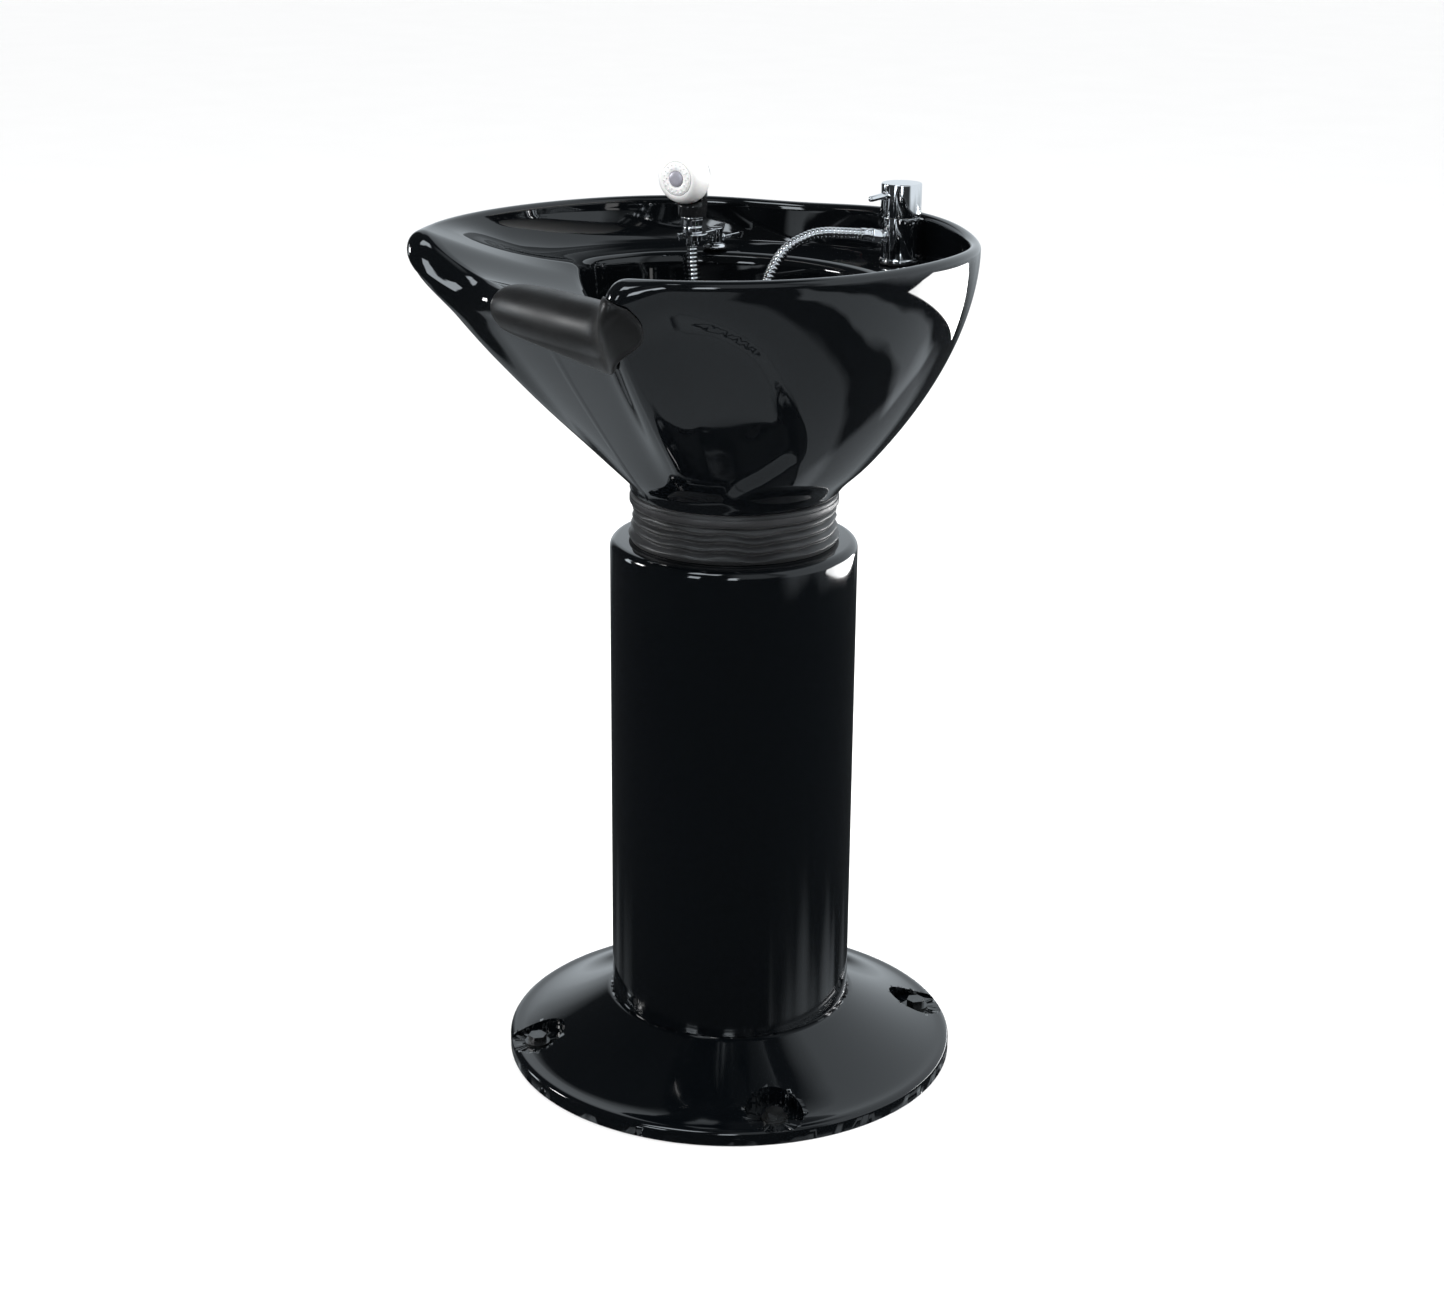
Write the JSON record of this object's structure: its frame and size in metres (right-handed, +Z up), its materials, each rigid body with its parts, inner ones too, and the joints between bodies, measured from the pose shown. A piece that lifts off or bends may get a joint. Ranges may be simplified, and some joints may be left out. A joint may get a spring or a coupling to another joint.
{
  "type": "shampoo basin on a pedestal",
  "caption": "Black tilting hair-wash basin with a neck rest, mixer tap and hand shower, on a round column and domed foot.",
  "frame": {"origin": "centre of the floor bolt circle, on the floor", "axes": "+Z up; +Y from the neck notch towards the mixer; +X to the right of someone who faces the notch"},
  "size_m": [0.555, 0.5406, 0.9886],
  "materials": {
    "black_glaze": "gloss",
    "gloss_black": "gloss",
    "frame_paint": "satin",
    "zinc_steel": "satin",
    "black_rubber": "satin",
    "black_plastic": "satin",
    "housing_black": "gloss",
    "friction_pad": "satin",
    "chrome": "polished",
    "white_plastic": "gloss",
    "grey_plastic": "satin",
    "waste_pipe": "satin",
    "braid": "satin"
  },
  "bodies": {
    "pedestal": {"floor_plate": "zinc_steel", "foot_cover": "gloss_black", "anchor_nuts": "zinc_steel", "anchor_washers": "zinc_steel", "uprights": "frame_paint", "head_plate": "frame_paint", "head_bolts": "zinc_steel", "pivot_ears": "zinc_steel", "column_shell": "gloss_black", "bellows": "black_rubber", "bellows_lower_ring": "zinc_steel", "waste_hose": "waste_pipe", "waste_socket": "black_plastic", "hot_supply_hose": "braid", "cold_supply_hose": "braid", "supply_unions": "chrome"},
    "bowl": {"bowl_shell": "black_glaze", "neck_rest": "black_rubber", "bellows_clamp": "black_plastic", "cradle": "frame_paint", "cradle_pads": "black_rubber", "cradle_bolts": "zinc_steel", "pivot_bolts": "zinc_steel", "friction_washers": "friction_pad", "pivot_nuts": "zinc_steel", "waste_flange": "chrome", "waste_gasket": "black_rubber", "waste_body": "black_plastic", "waste_nut": "zinc_steel", "mixer_gasket": "black_rubber", "mixer_base_ring": "chrome", "mixer_body": "chrome", "mixer_shank": "friction_pad", "mixer_clamp_plate": "zinc_steel", "mixer_nut": "friction_pad", "mixer_cartridge": "white_plastic", "cartridge_nut": "friction_pad", "hose_outlet": "chrome", "outlet_nut": "chrome", "outlet_ferrule": "chrome", "shower_hose": "chrome", "holder_gasket": "black_rubber", "holder_base": "chrome", "holder_nut": "zinc_steel", "holder_arm": "chrome", "holder_screw": "chrome"},
    "strainer": {"strainer_basket": "chrome"},
    "mixer_swivel": {"mixer_turret": "friction_pad"},
    "mixer_lever": {"mixer_spindle": "zinc_steel", "mixer_cap": "chrome", "mixer_lever": "chrome", "lever_screw": "zinc_steel"},
    "handset": {"handset_ferrule": "chrome", "handset_collar": "chrome", "handset_body": "housing_black", "spray_shell": "white_plastic", "spray_plate": "white_plastic", "spray_badge": "grey_plastic"}
  },
  "joints": [
    {"name": "bowl_tilt", "type": "hinge", "parent": "pedestal", "child": "bowl", "pos_m": [0, 0, 0.622], "axis": [1, 0, 0], "range_deg": [-8, 12], "deforming": ["bellows", "waste_hose", "hot_supply_hose", "cold_supply_hose"]},
    {"name": "mixer_swivel", "type": "hinge", "parent": "bowl", "child": "mixer_swivel", "pos_m": [0.014, 0.205, 0.915], "axis": [0, 0, 1], "range_deg": [-45, 45]},
    {"name": "mixer_lift", "type": "hinge", "parent": "mixer_swivel", "child": "mixer_lever", "pos_m": [0.014, 0.205, 0.915], "axis": [-1, 0, 0], "range_deg": [0, 20]},
    {"name": "handset_lift", "type": "slide", "parent": "bowl", "child": "handset", "axis": [0, 0, 1], "range_m": [0, 0.15]},
    {"name": "strainer_lift", "type": "slide", "parent": "bowl", "child": "strainer", "axis": [0, 0, 1], "range_m": [0, 0.05]}
  ]
}
